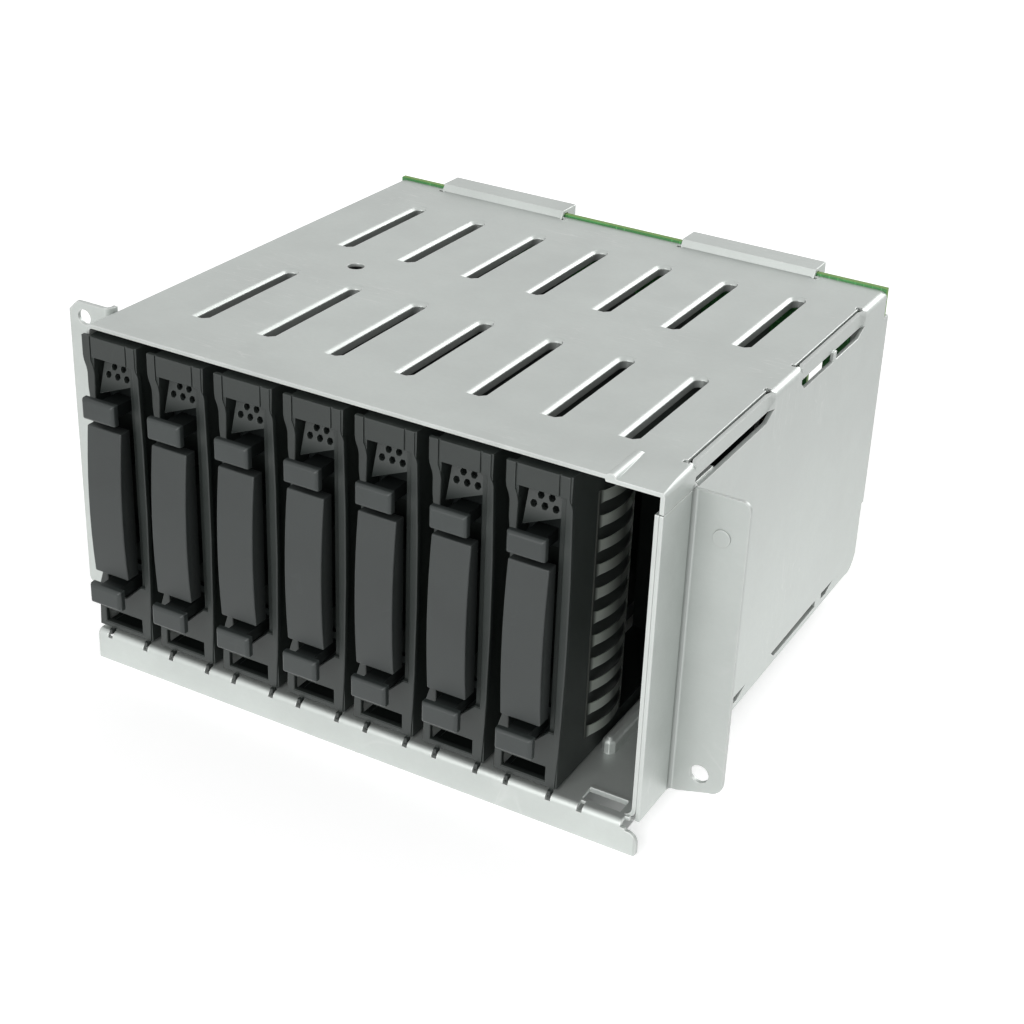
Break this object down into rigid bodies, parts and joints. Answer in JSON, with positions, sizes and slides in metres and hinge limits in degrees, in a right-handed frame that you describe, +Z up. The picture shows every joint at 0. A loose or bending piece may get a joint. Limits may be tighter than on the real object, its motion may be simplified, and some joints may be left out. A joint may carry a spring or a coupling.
{
  "type": "drive cage",
  "caption": "Folded steel cage for small hot swap drives on edge, with pull-out filler blanks, slotted top, mounting ears, front lip and rear backplane board.",
  "frame": {"origin": "centre of the whole cage's bounding box in plan, at the level of the front lip's lower edge", "axes": "+X to the right along the row of bays as seen from the front, +Y from the front to the rear along the drives' path, +Z up"},
  "size_m": [0.1706, 0.1502, 0.0894],
  "materials": {
    "zinc_steel": "zinc plated sheet, satin",
    "blank_plastic": "dark grey moulded, fine texture",
    "grip_plastic": "dark grey moulded, smooth satin",
    "latch_plastic": "dark grey moulded, smooth satin",
    "spring_steel": "bright rolled spring strip",
    "circuit_board": "green solder mask",
    "socket_plastic": "black moulded",
    "socket_shield": "plated stamped shield",
    "screw_steel": "zinc plated"
  },
  "bodies": {
    "root": {"cage_shell": "zinc_steel", "floor_tray": "zinc_steel", "left_ear": "zinc_steel", "right_ear": "zinc_steel", "backplane_board": "circuit_board", "drive_sockets": "socket_plastic", "data_sockets": "socket_shield", "power_socket": "socket_plastic", "board_screws": "screw_steel"},
    "blank_1": {"blank_1_body": "blank_plastic", "blank_1_grip": "grip_plastic", "blank_1_spring_strip": "spring_steel"},
    "blank_1_upper_tab": {"blank_1_upper_latch": "latch_plastic"},
    "blank_1_lower_tab": {"blank_1_lower_latch": "latch_plastic"},
    "blank_2": {"blank_2_body": "blank_plastic", "blank_2_grip": "grip_plastic", "blank_2_spring_strip": "spring_steel"},
    "blank_2_upper_tab": {"blank_2_upper_latch": "latch_plastic"},
    "blank_2_lower_tab": {"blank_2_lower_latch": "latch_plastic"},
    "blank_3": {"blank_3_body": "blank_plastic", "blank_3_grip": "grip_plastic", "blank_3_spring_strip": "spring_steel"},
    "blank_3_upper_tab": {"blank_3_upper_latch": "latch_plastic"},
    "blank_3_lower_tab": {"blank_3_lower_latch": "latch_plastic"},
    "blank_4": {"blank_4_body": "blank_plastic", "blank_4_grip": "grip_plastic", "blank_4_spring_strip": "spring_steel"},
    "blank_4_upper_tab": {"blank_4_upper_latch": "latch_plastic"},
    "blank_4_lower_tab": {"blank_4_lower_latch": "latch_plastic"},
    "blank_5": {"blank_5_body": "blank_plastic", "blank_5_grip": "grip_plastic", "blank_5_spring_strip": "spring_steel"},
    "blank_5_upper_tab": {"blank_5_upper_latch": "latch_plastic"},
    "blank_5_lower_tab": {"blank_5_lower_latch": "latch_plastic"},
    "blank_6": {"blank_6_body": "blank_plastic", "blank_6_grip": "grip_plastic", "blank_6_spring_strip": "spring_steel"},
    "blank_6_upper_tab": {"blank_6_upper_latch": "latch_plastic"},
    "blank_6_lower_tab": {"blank_6_lower_latch": "latch_plastic"},
    "blank_7": {"blank_7_body": "blank_plastic", "blank_7_grip": "grip_plastic", "blank_7_spring_strip": "spring_steel"},
    "blank_7_upper_tab": {"blank_7_upper_latch": "latch_plastic"},
    "blank_7_lower_tab": {"blank_7_lower_latch": "latch_plastic"}
  },
  "joints": [
    {"name": "blank_1_pull", "type": "slide", "parent": "root", "child": "blank_1", "axis": [0, -1, 0], "range_m": [0, 0.1]},
    {"name": "blank_1_upper_pinch", "type": "slide", "parent": "blank_1", "child": "blank_1_upper_tab", "axis": [0, 0, -1], "range_m": [0, 0.0016], "stiffness_N_per_m": 600, "springref_m": -0.001},
    {"name": "blank_1_lower_pinch", "type": "slide", "parent": "blank_1", "child": "blank_1_lower_tab", "axis": [0, 0, 1], "range_m": [0, 0.0016], "stiffness_N_per_m": 600, "springref_m": -0.001},
    {"name": "blank_2_pull", "type": "slide", "parent": "root", "child": "blank_2", "axis": [0, -1, 0], "range_m": [0, 0.1]},
    {"name": "blank_2_upper_pinch", "type": "slide", "parent": "blank_2", "child": "blank_2_upper_tab", "axis": [0, 0, -1], "range_m": [0, 0.0016], "stiffness_N_per_m": 600, "springref_m": -0.001},
    {"name": "blank_2_lower_pinch", "type": "slide", "parent": "blank_2", "child": "blank_2_lower_tab", "axis": [0, 0, 1], "range_m": [0, 0.0016], "stiffness_N_per_m": 600, "springref_m": -0.001},
    {"name": "blank_3_pull", "type": "slide", "parent": "root", "child": "blank_3", "axis": [0, -1, 0], "range_m": [0, 0.1]},
    {"name": "blank_3_upper_pinch", "type": "slide", "parent": "blank_3", "child": "blank_3_upper_tab", "axis": [0, 0, -1], "range_m": [0, 0.0016], "stiffness_N_per_m": 600, "springref_m": -0.001},
    {"name": "blank_3_lower_pinch", "type": "slide", "parent": "blank_3", "child": "blank_3_lower_tab", "axis": [0, 0, 1], "range_m": [0, 0.0016], "stiffness_N_per_m": 600, "springref_m": -0.001},
    {"name": "blank_4_pull", "type": "slide", "parent": "root", "child": "blank_4", "axis": [0, -1, 0], "range_m": [0, 0.1]},
    {"name": "blank_4_upper_pinch", "type": "slide", "parent": "blank_4", "child": "blank_4_upper_tab", "axis": [0, 0, -1], "range_m": [0, 0.0016], "stiffness_N_per_m": 600, "springref_m": -0.001},
    {"name": "blank_4_lower_pinch", "type": "slide", "parent": "blank_4", "child": "blank_4_lower_tab", "axis": [0, 0, 1], "range_m": [0, 0.0016], "stiffness_N_per_m": 600, "springref_m": -0.001},
    {"name": "blank_5_pull", "type": "slide", "parent": "root", "child": "blank_5", "axis": [0, -1, 0], "range_m": [0, 0.1]},
    {"name": "blank_5_upper_pinch", "type": "slide", "parent": "blank_5", "child": "blank_5_upper_tab", "axis": [0, 0, -1], "range_m": [0, 0.0016], "stiffness_N_per_m": 600, "springref_m": -0.001},
    {"name": "blank_5_lower_pinch", "type": "slide", "parent": "blank_5", "child": "blank_5_lower_tab", "axis": [0, 0, 1], "range_m": [0, 0.0016], "stiffness_N_per_m": 600, "springref_m": -0.001},
    {"name": "blank_6_pull", "type": "slide", "parent": "root", "child": "blank_6", "axis": [0, -1, 0], "range_m": [0, 0.1]},
    {"name": "blank_6_upper_pinch", "type": "slide", "parent": "blank_6", "child": "blank_6_upper_tab", "axis": [0, 0, -1], "range_m": [0, 0.0016], "stiffness_N_per_m": 600, "springref_m": -0.001},
    {"name": "blank_6_lower_pinch", "type": "slide", "parent": "blank_6", "child": "blank_6_lower_tab", "axis": [0, 0, 1], "range_m": [0, 0.0016], "stiffness_N_per_m": 600, "springref_m": -0.001},
    {"name": "blank_7_pull", "type": "slide", "parent": "root", "child": "blank_7", "axis": [0, -1, 0], "range_m": [0, 0.1]},
    {"name": "blank_7_upper_pinch", "type": "slide", "parent": "blank_7", "child": "blank_7_upper_tab", "axis": [0, 0, -1], "range_m": [0, 0.0016], "stiffness_N_per_m": 600, "springref_m": -0.001},
    {"name": "blank_7_lower_pinch", "type": "slide", "parent": "blank_7", "child": "blank_7_lower_tab", "axis": [0, 0, 1], "range_m": [0, 0.0016], "stiffness_N_per_m": 600, "springref_m": -0.001}
  ]
}
